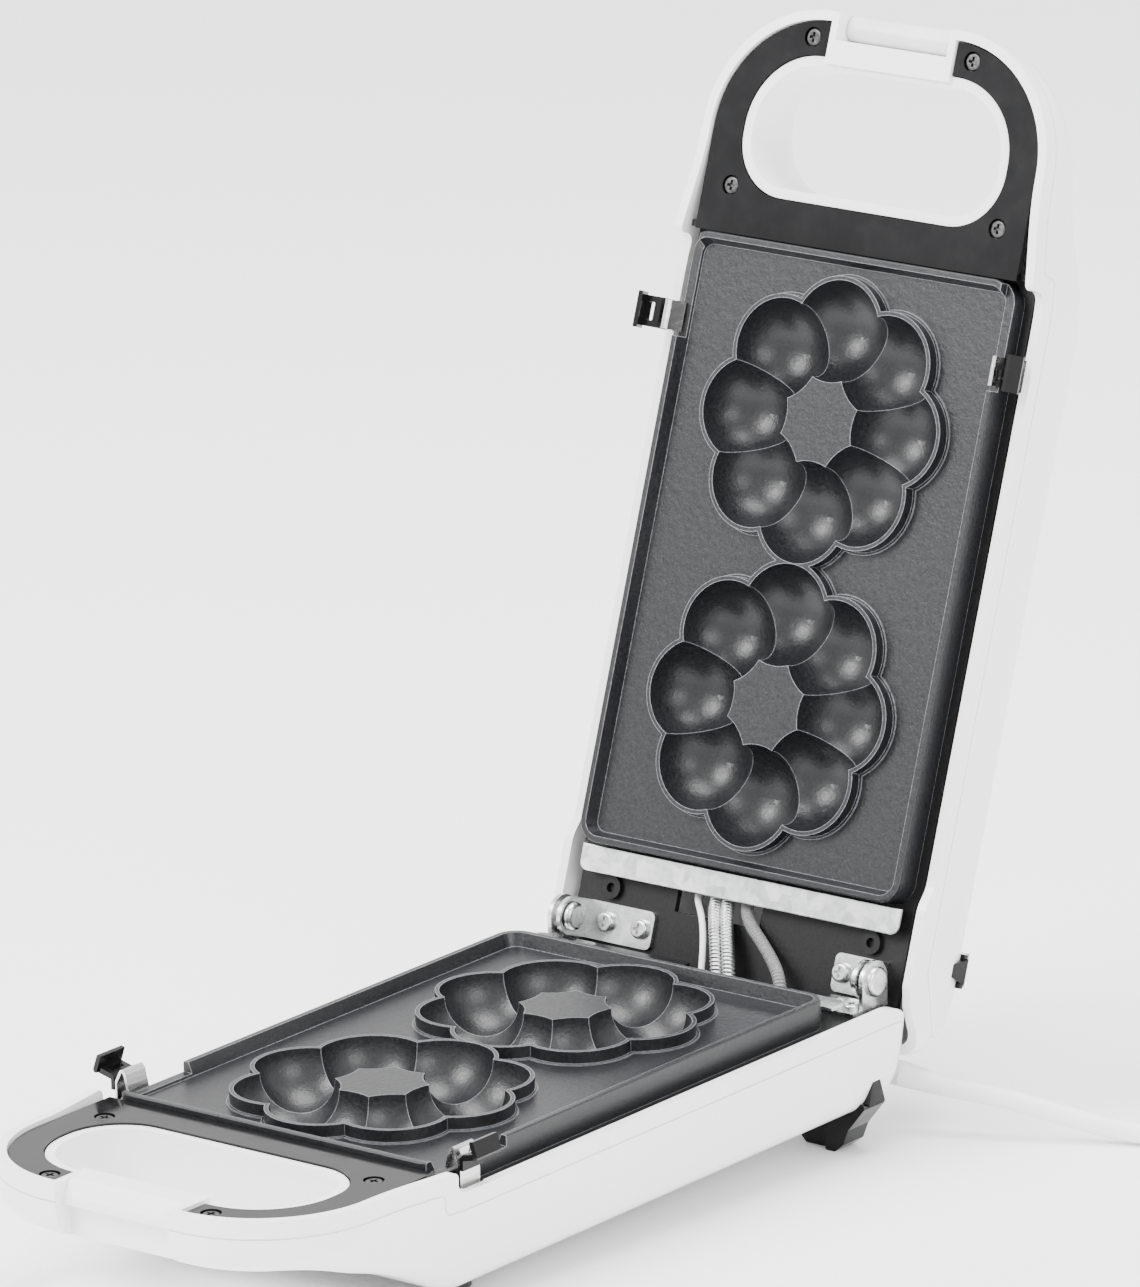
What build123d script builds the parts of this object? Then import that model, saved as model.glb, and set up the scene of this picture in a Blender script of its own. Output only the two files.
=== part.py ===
from build123d import *
import os
from math import cos, pi, radians, sin, tan

os.makedirs("parts", exist_ok=True)

# A two-ring donut maker, standing open.  All sizes are in millimetres.
#
# Every piece is drawn in the machine frame first: Z = 0 is the plane where the two
# halves meet, X = 0 is the middle, the hinge lies near Y = 0 and the handle points
# along -Y.  Pieces of the lid are drawn closed, as mirror images of the base's.
# place() then swings the lid's pieces open, leans the machine on its feet and moves
# it to the part's origin, which is on the table, under the middle of the box.

# ---- driving dimensions ------------------------------------------------------------
PLATE_HALF = 60.0             # half width of the two baking plates
PLATE_REAR = -23.3
PLATE_FRONT = -212.7
PLATE_CORNER = 7.0
RIM_Z = -0.2                  # the rims stop short of the meeting plane
FLOOR_Z = -4.4                # plate floor
SKIRT_Z = -9.2                # underside of the plate's outer wall
PLATE_THICK = 2.6
BALL_RADIUS = 15.6            # one ball of a ring
RING_RADIUS = 27.75
BALLS = 8
RING_CENTRES = (-74.4, -161.4)
RING_WALL = 1.3

BELLY_HALF = 67.9             # half width of the housing beside the plates
HANDLE_HALF = 63.6            # half width of the handle
HANDLE_CORNER = 39.5
FRONT = -284.5
BELLY_Z = -40.5
HANDLE_Z = -18.2
WALL = 3.0
EDGE_ROUND = 8.0
BEAD_Z = -1.0                 # top of the handle's bead
EDGE_Z = -7.7                 # top of the housing beside the plates
BASE_REAR = 9.0
LID_REAR = 21.0
TRIM_Z = -2.0                 # face of the black handle trim
TRIM_HALF = 60.0
TRIM_FRONT = -281.0
TRIM_CORNER = 36.0
LATCH_HALF = 20.7             # half width of the latch recess
RECESS_Y = -277.5             # back of the latch recess in the base
LID_RECESS_Y = -276.0

HINGE_Z = -1.8
OPEN_ANGLE = 109.3
TAB_RADIUS = 6.3
FOOT_Z = -53.5                # underside of the rear feet
FOOT_Y = -6.6                 # middle of the rear feet and of the lid's cord hooks
FRONT_FOOT_Y = -183.0
LEAN = 1.7                    # the rear feet are taller than the front ones
ORIGIN_Y = 85.9               # moves the middle of the box to Y = 0

CLIP_PIVOT = (62.3, -15.5)    # X, Z of the pin that a plate clip turns on
BASE_CLIP_Y = -201.5
LID_CLIP_Y = -185.5
CLIP_WIDTH = 9.0
STEEL = 0.8

CORD_DIAMETER = 6.3

# the inside: heaters, trays, hinge
HEATER_HALF, HEATER_Z, HEATER_RADIUS = 30.0, -22.0, 3.2
TRAY_HALF, TRAY_FRONT, TRAY_REAR, TRAY_Z = 58.4, -210.6, -26.9, -30.0
TRIM_REAR = -213.1
TAB_X, FLANGE_X = 58.0, 54.9  # inner faces of the base's tabs and the lid's flanges
STEEL_PLATE = 1.4
RIVET_RADIUS = 2.5
FLANGE_RADIUS = 5.9
PIVOT_Y = -11.8               # the front edge of the rear feet
FRONT_FOOT_RADIUS = 7.0
HUB_RADIUS = 4.0
TIP_Z = -29.6
INSIDE_FLOOR = BELLY_Z + WALL

# housings and handles
# (height, inset) of the sections that shape the side walls: upright near the top,
# drawn in towards the underside
WALL_SECTIONS = ((10, 0.0), (-18, 1.0), (-32, 4.0), (-43, 8.6))
GRIP_FRONT, GRIP_REAR, GRIP_HALF = -270.5, -226.0, 49.0
TRIM_SCREWS = [(-29.7, -275.9), (29.7, -275.9), (-49.8, -227.6), (49.8, -227.6)]
TRIM_BOSS_Z = -5.5
RIB_YS = (-170.0, -118.0, -60.0)
FRAME_Z = SKIRT_Z - 2.0       # underside of the inner frame
LUG_INNER = CLIP_WIDTH / 2 + 0.4
LUG_OUTER = LUG_INNER + 2.2
CHEEK_INNER = 61.8
PIN_RADIUS = 1.0
TRIM_SCREW_SHAFT = 1.3

# latch, lamps and cord exit
HUB_Y, HUB_Z = -280.5, 9.5    # axis of the latch in the closed lid
LATCH_PIN_RADIUS = 1.25
LAMPS = ((-11, -186), (11, -186))
LAMP_RADIUS = 3.5
GLAND_X, GLAND_Z = 42.0, -33.8
GLAND_RADIUS = 3.6

# plates, inner frames and brackets
NOTCH_X, NOTCH_Z, NOTCH_REAR = 56.3, -3.5, -179.5
LID_PANEL_Z, BASE_PANEL_Z = -8.8, -10.7
FRAME_FRONT, FRAME_REAR, FRAME_HALF, PANEL_HALF = -215.5, -23.0, 63.1, 61.6
STRIP_Z = -4.0
STRIP_STANDS = (-42.0, 14.0, 42.0)
LID_BRACKET_SCREWS = [(-48.1, 0), (-35.1, 0), (40.9, 0), (50.2, 0)]
BASE_BRACKET_SCREWS = [(-55.0, -5.8), (55.0, -5.8)]
BRACKET_SCREW_SHAFT = 1.4

# mains cord, in the part's own frame
CORD_ROUTE = [(68.3, 108.3, 15.2), (84.9, 117.1, 12.6), (100.7, 125.3, 7.8),
              (118.6, 134.3, 3.5), (136.6, 142.9, 3.2)]
COIL_CENTRE = (142.0, 183.9)
COIL_RADIUS = 5.5 * CORD_DIAMETER
COIL_START, COIL_SWEEP = -64.5, 1140.0
COIL_PITCH = 1.02 * CORD_DIAMETER
LEAD_IN = 22.5
CORD_TAIL = [(178.3, 203.6, 23.5), (179.6, 220.6, 23.2), (174.6, 240.9, 16.5),
             (158.4, 257.1, 8.6), (138.4, 263.6, 8.4)]

# ---- frames ------------------------------------------------------------------------


def place(piece, lid=False):
    """Swing a lid piece open, lean the machine on its feet and move it to the origin."""
    if lid:
        piece = piece.rotate(Axis((0, 0, HINGE_Z), (1, 0, 0)), -OPEN_ANGLE)
    piece = piece.rotate(Axis((0, PIVOT_Y, FOOT_Z), (1, 0, 0)), LEAN)
    return piece.translate((0, ORIGIN_Y, -FOOT_Z))


def save(piece, name, lid=False, placed=False):
    """Label a piece, put it where it stands and write it."""
    if not placed:
        piece = place(piece, lid)
    piece.label = name
    export_step(piece, f"parts/{name}.step")


def table_point(x, y, z):
    """A point of the machine frame, in the part's own frame."""
    dy, dz = y - PIVOT_Y, z - FOOT_Z
    c, s = cos(radians(LEAN)), sin(radians(LEAN))
    return Vector(x, PIVOT_Y + c * dy - s * dz + ORIGIN_Y, s * dy + c * dz)


def flipped(piece):
    """The lid's version of a piece drawn for the base."""
    return mirror(piece, about=Plane.XY)




# ---- housings ----------------------------------------------------------------------


def plan_outline(height, inset):
    """One level of the housing, seen from above."""
    corner = HANDLE_CORNER - inset
    handle = HANDLE_HALF - inset
    belly = BELLY_HALF - inset
    front = FRONT + inset
    with BuildSketch(Plane.XY.offset(height)) as plan:
        with BuildLine():
            Line((0, front), (handle - corner, front))
            CenterArc((handle - corner, front + corner), corner, -90, 90)
            Spline((handle, front + corner), (belly, -200), tangents=[(0, 1), (0, 1)])
            Polyline((belly, -200), (belly, 40), (0, 40))
            mirror(about=Plane.YZ)
        make_face()
    return plan.sketch


def lower_profile(inset, rear, rear_corner):
    """Front, underside and rear of the housing seen from the side."""
    depth = BELLY_Z + inset
    handle = HANDLE_Z + inset
    back = rear - inset
    corner = rear_corner - inset
    with BuildSketch(Plane.YZ.offset(-90)) as side:
        with BuildLine():
            Polyline((back, depth + corner), (back, 10), (-300, 10), (-300, handle),
                     (-268, handle))
            Spline((-268, handle), (-250, -22.3 + inset), (-232, -28.2 + inset),
                   (-214, -36.6 + inset), (-200, depth), tangents=[(1, 0), (1, 0)])
            Line((-200, depth), (back - corner, depth))
            CenterArc((back - corner, depth + corner), corner, -90, 90)
        make_face()
    return side.sketch


def is_profile_face(face):
    """True for the faces that lower_profile() cuts: the underside and the rear."""
    middle = face.center()
    return abs(face.normal_at(middle).X) < 0.01 and middle.Z < 5 and middle.Y > FRONT + 9


def full_block(inset, rear, rear_corner, edge_round):
    """The housing as one solid block up to Z = 10."""
    with BuildPart() as block:
        loft([plan_outline(height, inset + drawn_in) for height, drawn_in in WALL_SECTIONS])
        extrude(lower_profile(inset, rear, rear_corner), amount=180, mode=Mode.INTERSECT)
        profile_faces = block.faces().filter_by(is_profile_face)
        seen = {}
        for face in profile_faces:
            for edge in face.edges():
                seen.setdefault(hash(edge), []).append(edge)
        rims = [found[0] for found in seen.values() if len(found) == 1]
        rims = [edge for edge in rims if edge.center().Z < 9]
        fillet(rims, edge_round)
    return block.part


def top_cut(lid):
    """What is cut away above the rim of a housing, seen from the side."""
    with BuildSketch(Plane.YZ.offset(-90)) as side:
        with BuildLine():
            Polyline((LID_REAR + 3, 12), (-320, 12), (-320, BEAD_Z), (-213, BEAD_Z))
            CenterArc((-213, BEAD_Z - 2), 2, 0, 90)
            Line((-211, BEAD_Z - 2), (-211, EDGE_Z + 3))
            CenterArc((-208, EDGE_Z + 3), 3, 180, 90)
            if lid:
                Line((-208, EDGE_Z), (-32, EDGE_Z))
                Spline((-32, EDGE_Z), (-22, -5), tangents=[(1, 0), (1, 0)])
                Polyline((-22, -5), (0, -5), (6, -7), (18.3, -17), (LID_REAR + 3, -19),
                         (LID_REAR + 3, 12))
            else:
                Line((-208, EDGE_Z), (BASE_REAR - 15, EDGE_Z))
                CenterArc((BASE_REAR - 15, EDGE_Z - 15), 15, 0, 90)
                Polyline((BASE_REAR, EDGE_Z - 15), (LID_REAR + 3, EDGE_Z - 15),
                         (LID_REAR + 3, 12))
        make_face()
    return side.sketch


def seam_line(lid):
    """The fine groove that follows the rim, a little below it, seen from the side."""
    low = EDGE_Z - 5.5
    with BuildSketch(Plane.YZ.offset(-90)) as side:
        with BuildLine():
            if lid:
                FilletPolyline((-300, BEAD_Z - 5.5), (-216, BEAD_Z - 5.5), (-216, low),
                               (-5, low), (14, -24), (14, -60), radius=2.5)
            else:
                FilletPolyline((-300, BEAD_Z - 5.5), (-216, BEAD_Z - 5.5), (-216, low),
                               (BASE_REAR - 5.5, low), (BASE_REAR - 5.5, -60), radius=2.5)
        trace(line_width=0.6)
    return side.sketch


def grip_outline(height, inset):
    """The hole for the hand, at one level."""
    with BuildSketch(Plane.XY.offset(height)) as outline:
        with Locations((0, (GRIP_FRONT + GRIP_REAR) / 2)):
            Rectangle(2 * (GRIP_HALF - inset), GRIP_REAR - GRIP_FRONT - 2 * inset)
        fillet(outline.vertices().group_by(Axis.Y)[0], 24 - inset)
        fillet(outline.vertices().group_by(Axis.Y)[-1], 18 - inset)
    return outline.sketch


def inner_walls(clip_y, recess_y):
    """Collar, latch walls, screw posts, ribs and clip lugs, before they are trimmed."""
    with BuildPart() as inside:
        extrude(grip_outline(-45, 0), amount=45 + TRIM_Z - 0.6)
        with BuildSketch(Plane.XY.offset(-45)) as latch_wall:
            with Locations((0, (recess_y + 2.4 - 290) / 2)):
                Rectangle(2 * LATCH_HALF + 4.8, 290 + recess_y + 2.4)
        extrude(amount=45 + BEAD_Z)
        with BuildSketch(Plane.XY.offset(-4)):
            with Locations((0, (recess_y + GRIP_FRONT) / 2 + 1)):
                Rectangle(2 * LATCH_HALF + 4.8, GRIP_FRONT - recess_y + 2)
        extrude(amount=3)
        with BuildSketch(Plane.XY.offset(-45)):
            with Locations(TRIM_SCREWS):
                Circle(3.6)
        extrude(amount=45 + TRIM_BOSS_Z)
        with BuildSketch(Plane.XY.offset(-45)):
            for rib_y in RIB_YS:
                with Locations((-63, rib_y), (63, rib_y)):
                    Rectangle(8, 2)
        extrude(amount=45 + FRAME_Z)
        with BuildSketch(Plane.XY.offset(-45)):
            with Locations((-40, -190), (40, -190), (-40, -48), (40, -48)):
                Circle(4)
        extrude(amount=45 + TRAY_Z)
        with BuildSketch(Plane.XY.offset(CLIP_PIVOT[1] - 3)):
            for side in (-1, 1):
                for lug in (-1, 1):
                    with Locations((side * 64, clip_y + lug * (LUG_INNER + 1.1))):
                        Rectangle(7.2, 2.2)
        extrude(amount=6)
    return inside.part


def make_housing(lid):
    """One half of the white housing, drawn as the base."""
    rear = LID_REAR if lid else BASE_REAR
    corner = 22.0 if lid else 14.0
    clip_y = LID_CLIP_Y if lid else BASE_CLIP_Y
    recess_y = LID_RECESS_Y if lid else RECESS_Y
    outside = full_block(0, rear, corner, EDGE_ROUND)
    hollow = full_block(WALL, rear, corner, EDGE_ROUND - WALL)
    groove_floor = full_block(0.5, rear, corner, EDGE_ROUND - 0.5)
    with BuildPart() as inside:
        add(inner_walls(clip_y, recess_y))
        add(outside, mode=Mode.INTERSECT)
    with BuildPart() as groove:
        extrude(seam_line(lid), amount=180)
        add(groove_floor, mode=Mode.SUBTRACT)
    with BuildPart() as housing:
        add(outside)
        add(hollow, mode=Mode.SUBTRACT)
        extrude(top_cut(lid), amount=180, mode=Mode.SUBTRACT)
        add(inside.part)
        extrude(grip_outline(-60, WALL), amount=70, mode=Mode.SUBTRACT)
        add(groove.part, mode=Mode.SUBTRACT)
        # latch recess
        with BuildSketch(Plane.YZ.offset(-LATCH_HALF)):
            with BuildLine():
                if lid:
                    Polyline((-290, 12), (recess_y, 12), (recess_y, -30), (-290, -30),
                             (-290, 12))
                else:
                    Polyline((-290, -30), (recess_y, -30), (recess_y, -8), (-281.5, -7.6),
                             (-281, -5.4), (-278.8, -1.9), (-276.5, BEAD_Z), (-276.5, 12),
                             (-290, 12), (-290, -30))
            make_face()
        extrude(amount=2 * LATCH_HALF, mode=Mode.SUBTRACT)
        # room for the hinge between the rear cheeks
        if lid:
            low, back = -10.8, 8.2
        else:
            low, back = -12.7, 12.0
        with BuildSketch(Plane.XY.offset(low)):
            with Locations((0, (back - 26) / 2)):
                Rectangle(2 * CHEEK_INNER, back + 26)
        extrude(amount=20, mode=Mode.SUBTRACT)
        # room for the clips' springs, and the bores of their pins
        for side in (-1, 1):
            with BuildSketch(Plane.XY.offset(CLIP_PIVOT[1] - 3)):
                with Locations((side * 62.6, clip_y)):
                    Rectangle(5.6, 2 * LUG_INNER)
            extrude(amount=14, mode=Mode.SUBTRACT)
            with BuildSketch(Plane.XZ.offset(-clip_y)):
                with Locations((side * CLIP_PIVOT[0], CLIP_PIVOT[1])):
                    Circle(PIN_RADIUS)
            extrude(amount=LUG_OUTER, both=True, mode=Mode.SUBTRACT)
        # screw bores
        with BuildSketch(Plane.XY.offset(TRIM_BOSS_Z)):
            with Locations(TRIM_SCREWS):
                Circle(TRIM_SCREW_SHAFT)
        extrude(amount=-9, mode=Mode.SUBTRACT)
        if lid:
            with BuildSketch(Plane.YZ.offset(-LATCH_HALF - 2.4)):
                with Locations((HUB_Y, -HUB_Z)):
                    Circle(LATCH_PIN_RADIUS)
            extrude(amount=2 * LATCH_HALF + 4.8, mode=Mode.SUBTRACT)
            with BuildSketch(Plane.XY.offset(BELLY_Z - 5)):
                with Locations(*LAMPS):
                    Circle(LAMP_RADIUS)
            extrude(amount=12, mode=Mode.SUBTRACT)
        else:
            with BuildSketch(Plane.XZ.offset(-BASE_REAR)):
                with Locations((GLAND_X, GLAND_Z)):
                    Circle(GLAND_RADIUS)
            extrude(amount=8, both=True, mode=Mode.SUBTRACT)
    return housing.part


base_housing = make_housing(lid=False)
save(base_housing, "base_housing")
lid_housing = make_housing(lid=True)
save(flipped(lid_housing), "lid_housing", lid=True)

# ---- baking plates, inner frames and heating ---------------------------------------


def ball_places():
    """Centres of every ball of both rings."""
    places = []
    for ring_y in RING_CENTRES:
        for k in range(BALLS):
            angle = 2 * pi * k / BALLS
            places.append((RING_RADIUS * cos(angle), ring_y + RING_RADIUS * sin(angle)))
    return places


def plate_outline(height, inset):
    """The plate's outline at one level, drawn in by inset."""
    with BuildSketch(Plane.XY.offset(height)) as outline:
        with Locations((0, (PLATE_FRONT + PLATE_REAR) / 2)):
            RectangleRounded(2 * (PLATE_HALF - inset), PLATE_REAR - PLATE_FRONT - 2 * inset,
                             PLATE_CORNER - inset)
    return outline.sketch


def make_plate():
    """A baking plate: rim, floor, and two rings of balls with a star between them."""
    draft = (RIM_Z - FLOOR_Z) * tan(radians(20))
    with BuildPart() as plate:
        extrude(plate_outline(SKIRT_Z, 0), amount=RIM_Z - SKIRT_Z)
        fillet(plate.faces().sort_by(Axis.Z)[-1].edges(), 0.5)
        loft([plate_outline(RIM_Z, 2.0), plate_outline(FLOOR_Z, 2.0 + draft)],
             mode=Mode.SUBTRACT)
        extrude(plate_outline(SKIRT_Z, 3.2), amount=FLOOR_Z - PLATE_THICK - SKIRT_Z,
                mode=Mode.SUBTRACT)
        # the walls round the balls, up to the rim, and the balls' undersides
        with BuildSketch(Plane.XY.offset(FLOOR_Z - 1)):
            with Locations(ball_places()):
                Circle(BALL_RADIUS + RING_WALL)
            with Locations(*[(0, ring_y) for ring_y in RING_CENTRES]):
                Circle(RING_RADIUS)
        extrude(amount=RIM_Z - FLOOR_Z + 1)
        with Locations(*[(x, y, RIM_Z) for x, y in ball_places()]):
            Sphere(BALL_RADIUS + PLATE_THICK, arc_size2=-12, align=[Align.NONE] * 3)
        with Locations(*[(x, y, RIM_Z) for x, y in ball_places()]):
            Sphere(BALL_RADIUS, mode=Mode.SUBTRACT)
        # low sills at the front corners, where the clips hook over
        with BuildSketch(Plane.XY.offset(NOTCH_Z)):
            for side in (-1, 1):
                with Locations((side * (NOTCH_X + 5), (NOTCH_REAR + PLATE_FRONT - 1) / 2)):
                    Rectangle(10, NOTCH_REAR - PLATE_FRONT + 1)
        extrude(amount=6, mode=Mode.SUBTRACT)
    return plate.part


lower_plate = make_plate()
save(lower_plate, "lower_plate")
save(flipped(lower_plate), "upper_plate", lid=True)


def make_frame(lid):
    """The black inner frame that a plate rests on, with the hinge panel behind it."""
    clip_y = LID_CLIP_Y if lid else BASE_CLIP_Y
    panel_z = LID_PANEL_Z if lid else BASE_PANEL_Z
    panel_front, panel_rear = (-23.2, 8.0) if lid else (-26.5, 5.0)
    with BuildPart() as frame:
        with BuildSketch(Plane.XY.offset(FRAME_Z)):
            with Locations((0, (FRAME_FRONT + FRAME_REAR) / 2)):
                Rectangle(2 * FRAME_HALF, FRAME_REAR - FRAME_FRONT)
            with Locations((0, (-211 - 26.5) / 2)):
                RectangleRounded(2 * 57, 211 - 26.5, 5, mode=Mode.SUBTRACT)
        extrude(amount=2)
        with BuildSketch(Plane.XY.offset(FRAME_Z)):
            with Locations((0, FRAME_FRONT + 1)):
                Rectangle(2 * FRAME_HALF, 2)
        extrude(amount=-4.3 - FRAME_Z)
        with BuildSketch(Plane.XY.offset(panel_z - 2)):
            with Locations((0, (panel_rear + panel_front) / 2)):
                Rectangle(2 * PANEL_HALF, panel_rear - panel_front)
        extrude(amount=2)
        # stands of the steel strip and round screw bosses beside them
        with BuildSketch(Plane.XY.offset(panel_z)):
            with Locations(*[(x, -18.4) for x in STRIP_STANDS]):
                Rectangle(6, 5)
        extrude(amount=STRIP_Z - 1 - panel_z)
        if lid:
            with BuildSketch(Plane.XY.offset(panel_z)):
                with Locations((-49, -10.6), (49, -10.6)):
                    Circle(3.5)
                    Circle(1.5, mode=Mode.SUBTRACT)
            extrude(amount=1.6)
        # the way through for the wires, the clips' springs and the bracket screws
        with BuildSketch(Plane.XY.offset(panel_z - 3)):
            if lid:
                with Locations((-9, -14)):
                    Rectangle(32, 13)
            else:
                with Locations((8, 0)):
                    Rectangle(44, 16)
        extrude(amount=6, mode=Mode.SUBTRACT)
        with BuildSketch(Plane.XY.offset(FRAME_Z - 1)):
            for side in (-1, 1):
                with Locations((side * 63, clip_y)):
                    Rectangle(5, 2 * LUG_INNER + 1)
        extrude(amount=4, mode=Mode.SUBTRACT)
        with BuildSketch(Plane.XY.offset(panel_z - 3)):
            with Locations(LID_BRACKET_SCREWS if lid else BASE_BRACKET_SCREWS):
                Circle(BRACKET_SCREW_SHAFT)
        extrude(amount=4, mode=Mode.SUBTRACT)
    return frame.part


base_frame = make_frame(lid=False)
save(base_frame, "base_frame")
lid_frame = make_frame(lid=True)
save(flipped(lid_frame), "lid_frame", lid=True)

with BuildPart() as trim:
    with BuildSketch(Plane.XY.offset(TRIM_Z - 2)) as trim_shape:
        with BuildLine():
            Line((0, TRIM_FRONT), (TRIM_HALF - TRIM_CORNER, TRIM_FRONT))
            CenterArc((TRIM_HALF - TRIM_CORNER, TRIM_FRONT + TRIM_CORNER), TRIM_CORNER, -90, 90)
            Polyline((TRIM_HALF, TRIM_FRONT + TRIM_CORNER), (TRIM_HALF, TRIM_REAR),
                     (0, TRIM_REAR))
            mirror(about=Plane.YZ)
        make_face()
        add(grip_outline(0, -0.3), mode=Mode.SUBTRACT)
        with Locations((0, TRIM_FRONT + 3)):
            Rectangle(2 * LATCH_HALF + 5.6, 17, mode=Mode.SUBTRACT)
    extrude(amount=2)
    with BuildSketch(Plane.XY.offset(TRIM_BOSS_Z)):
        with Locations(TRIM_SCREWS):
            Circle(4.4)
    extrude(amount=TRIM_Z - TRIM_BOSS_Z)
    with BuildSketch(Plane.XY.offset(TRIM_Z)):
        with Locations(TRIM_SCREWS):
            Circle(3.1)
    extrude(amount=-2, mode=Mode.SUBTRACT)
    with BuildSketch(Plane.XY.offset(TRIM_Z)):
        with Locations(TRIM_SCREWS):
            Circle(TRIM_SCREW_SHAFT)
    extrude(amount=-5, mode=Mode.SUBTRACT)


def screws(places, seat_z, head_radius, head_height, shaft_radius, shaft_length):
    """Pan-head screws with a cross recess, heads up, standing on the level seat_z."""
    with BuildPart() as group:
        with BuildSketch(Plane.XY.offset(seat_z)):
            with Locations(places):
                Circle(head_radius)
        extrude(amount=head_height)
        fillet(group.edges().group_by(Axis.Z)[-1], head_height * 0.45)
        with BuildSketch(Plane.XY.offset(seat_z + head_height)):
            with Locations(places):
                Rectangle(head_radius * 1.1, 0.9)
                Rectangle(0.9, head_radius * 1.1)
        extrude(amount=-head_height * 0.6, mode=Mode.SUBTRACT)
        with BuildSketch(Plane.XY.offset(seat_z)):
            with Locations(places):
                Circle(shaft_radius)
        extrude(amount=-shaft_length)
    return group.part


save(trim.part, "base_trim")
save(flipped(trim.part), "lid_trim", lid=True)
trim_screws = screws(TRIM_SCREWS, TRIM_Z - 2, 2.8, 1.7, TRIM_SCREW_SHAFT, 9)
save(trim_screws, "base_trim_screws")
save(flipped(trim_screws), "lid_trim_screws", lid=True)

with BuildPart() as heater:
    with BuildLine() as heater_path:
        Line((-HEATER_HALF, -30, HEATER_Z), (-HEATER_HALF, -172, HEATER_Z))
        CenterArc((0, -172, HEATER_Z), HEATER_HALF, 180, 180)
        Line((HEATER_HALF, -172, HEATER_Z), (HEATER_HALF, -30, HEATER_Z))
    with BuildSketch(Plane((-HEATER_HALF, -30, HEATER_Z), x_dir=(1, 0, 0), z_dir=(0, -1, 0))):
        Circle(HEATER_RADIUS)
    sweep(path=heater_path.line)

with BuildPart() as reflector:
    with BuildSketch(Plane.XY.offset(TRAY_Z)):
        with Locations((0, (TRAY_FRONT + TRAY_REAR) / 2)):
            RectangleRounded(2 * TRAY_HALF, TRAY_REAR - TRAY_FRONT, 6)
    extrude(amount=FRAME_Z - TRAY_Z)
    with BuildSketch(Plane.XY.offset(TRAY_Z + 1)):
        with Locations((0, (TRAY_FRONT + TRAY_REAR) / 2)):
            RectangleRounded(2 * TRAY_HALF - 2, TRAY_REAR - TRAY_FRONT - 2, 5)
    extrude(amount=30, mode=Mode.SUBTRACT)
    with BuildSketch(Plane.XZ.offset(-TRAY_REAR + 4)):
        with Locations((-HEATER_HALF, HEATER_Z), (HEATER_HALF, HEATER_Z)):
            Circle(HEATER_RADIUS)
    extrude(amount=-10, mode=Mode.SUBTRACT)

with BuildPart() as saddles:
    with BuildSketch(Plane.XY.offset(TRAY_Z + 1)):
        for saddle_y in (-60, -118, -166):
            with Locations((-HEATER_HALF, saddle_y), (HEATER_HALF, saddle_y)):
                Rectangle(9, 5)
    extrude(amount=HEATER_Z - TRAY_Z - 1)
    with BuildSketch(Plane.XZ.offset(20)):
        with Locations((-HEATER_HALF, HEATER_Z), (HEATER_HALF, HEATER_Z)):
            Circle(HEATER_RADIUS)
    extrude(amount=180, mode=Mode.SUBTRACT)

for half, on_lid in (("lower", False), ("upper", True)):
    for shape, name in ((heater.part, "heater"), (reflector.part, "reflector"),
                        (saddles.part, "heater_saddles")):
        save(flipped(shape) if on_lid else shape, f"{half}_{name}", lid=on_lid)

# ---- steel strips, hinge and wires -------------------------------------------------
with BuildPart() as strip:
    with BuildSketch(Plane.XY.offset(STRIP_Z - 1)) as strip_shape:
        with Locations((0, -18.4)):
            Rectangle(2 * PLATE_HALF, 8.2)
        fillet(strip_shape.vertices().group_by(Axis.Y)[-1], 3)
    extrude(amount=1)
    fillet(strip.faces().sort_by(Axis.Z)[-1].edges().filter_by(Axis.X), 0.4)
save(strip.part, "base_strip")
save(flipped(strip.part), "lid_strip", lid=True)


def hinge_tab(x, thickness, radius, bottom_z, bore):
    """An upright steel tab with a round end about the hinge axis."""
    with BuildPart() as tab:
        with BuildSketch(Plane.YZ.offset(x)):
            with Locations((0, HINGE_Z)):
                Circle(radius)
            with Locations((0, (HINGE_Z + bottom_z) / 2)):
                Rectangle(2 * radius, abs(HINGE_Z - bottom_z))
            with Locations((0, HINGE_Z)):
                Circle(bore, mode=Mode.SUBTRACT)
        extrude(amount=thickness)
    return tab.part


def dome(x, direction, radius, height):
    """A rivet head standing on the plane X = x."""
    with BuildPart() as head:
        with BuildSketch(Plane((x, 0, HINGE_Z), x_dir=(0, 1, 0), z_dir=(direction, 0, 0))):
            Circle(radius)
        extrude(amount=height)
        fillet(head.faces().sort_by(Axis.X)[-1 if direction > 0 else 0].edges(), height * 0.8)
    return head.part


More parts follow.
